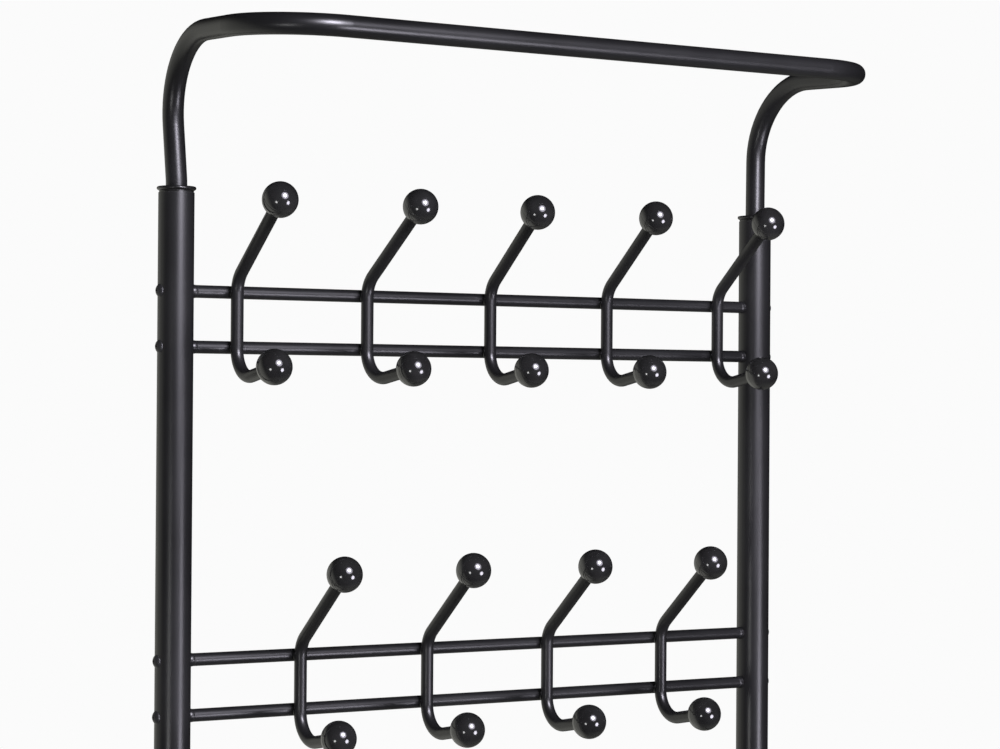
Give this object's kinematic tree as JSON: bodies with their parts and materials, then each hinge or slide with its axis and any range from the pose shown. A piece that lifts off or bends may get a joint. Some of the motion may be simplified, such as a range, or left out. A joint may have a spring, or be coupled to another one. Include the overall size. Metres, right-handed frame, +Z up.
{
  "type": "standing coat rack",
  "caption": "Free-standing hall coat rack: round uprights, a bent hanger loop on top, rails of ball-ended double hooks and wire shoe shelves.",
  "frame": {"origin": "on the floor, under the centre of the rack's bounding box", "axes": "+Z up, +X along the rack's width, the front of the rack at -Y"},
  "size_m": [0.68, 0.32, 1.8696],
  "materials": {
    "powder_coat": "semi-matt black powder coat with a fine texture",
    "hook_coat": "satin black powder coat",
    "ball_plastic": "glossy black moulded plastic",
    "black_plastic": "fine matt moulded plastic",
    "black_screw": "black lacquered pan-head screws",
    "zinc_insert": "zinc-plated threaded plugs, hidden inside the tube ends"
  },
  "bodies": {
    "root": {"bar_end_inserts": "zinc_insert", "left_front_foot": "black_plastic", "left_front_leg": "powder_coat", "left_loop_bush": "black_plastic", "left_rear_foot": "black_plastic", "left_upright_connector": "black_plastic", "left_upright_lower": "powder_coat", "left_upright_upper": "powder_coat", "leg_end_inserts": "zinc_insert", "leg_screws": "black_screw", "long_screws": "black_screw", "lower_hook_1": "hook_coat", "lower_hook_1_low_ball": "ball_plastic", "lower_hook_1_top_ball": "ball_plastic", "lower_hook_2": "hook_coat", "lower_hook_2_low_ball": "ball_plastic", "lower_hook_2_top_ball": "ball_plastic", "lower_hook_3": "hook_coat", "lower_hook_3_low_ball": "ball_plastic", "lower_hook_3_top_ball": "ball_plastic", "lower_hook_4": "hook_coat", "lower_hook_4_low_ball": "ball_plastic", "lower_hook_4_top_ball": "ball_plastic", "lower_rail_bottom_bar": "powder_coat", "lower_rail_top_bar": "powder_coat", "right_front_foot": "black_plastic", "right_front_leg": "powder_coat", "right_loop_bush": "black_plastic", "right_rear_foot": "black_plastic", "right_upright_connector": "black_plastic", "right_upright_lower": "powder_coat", "right_upright_upper": "powder_coat", "shelf_1_front_bar": "powder_coat", "shelf_1_rear_bar": "powder_coat", "shelf_1_wires": "powder_coat", "shelf_2_front_bar": "powder_coat", "shelf_2_rear_bar": "powder_coat", "shelf_2_wires": "powder_coat", "shelf_3_front_bar": "powder_coat", "shelf_3_rear_bar": "powder_coat", "shelf_3_wires": "powder_coat", "short_screws": "black_screw", "top_loop": "powder_coat", "upper_hook_1": "hook_coat", "upper_hook_1_low_ball": "ball_plastic", "upper_hook_1_top_ball": "ball_plastic", "upper_hook_2": "hook_coat", "upper_hook_2_low_ball": "ball_plastic", "upper_hook_2_top_ball": "ball_plastic", "upper_hook_3": "hook_coat", "upper_hook_3_low_ball": "ball_plastic", "upper_hook_3_top_ball": "ball_plastic", "upper_hook_4": "hook_coat", "upper_hook_4_low_ball": "ball_plastic", "upper_hook_4_top_ball": "ball_plastic", "upper_hook_5": "hook_coat", "upper_hook_5_low_ball": "ball_plastic", "upper_hook_5_top_ball": "ball_plastic", "upper_rail_bottom_bar": "powder_coat", "upper_rail_top_bar": "powder_coat"}
  },
  "joints": []
}
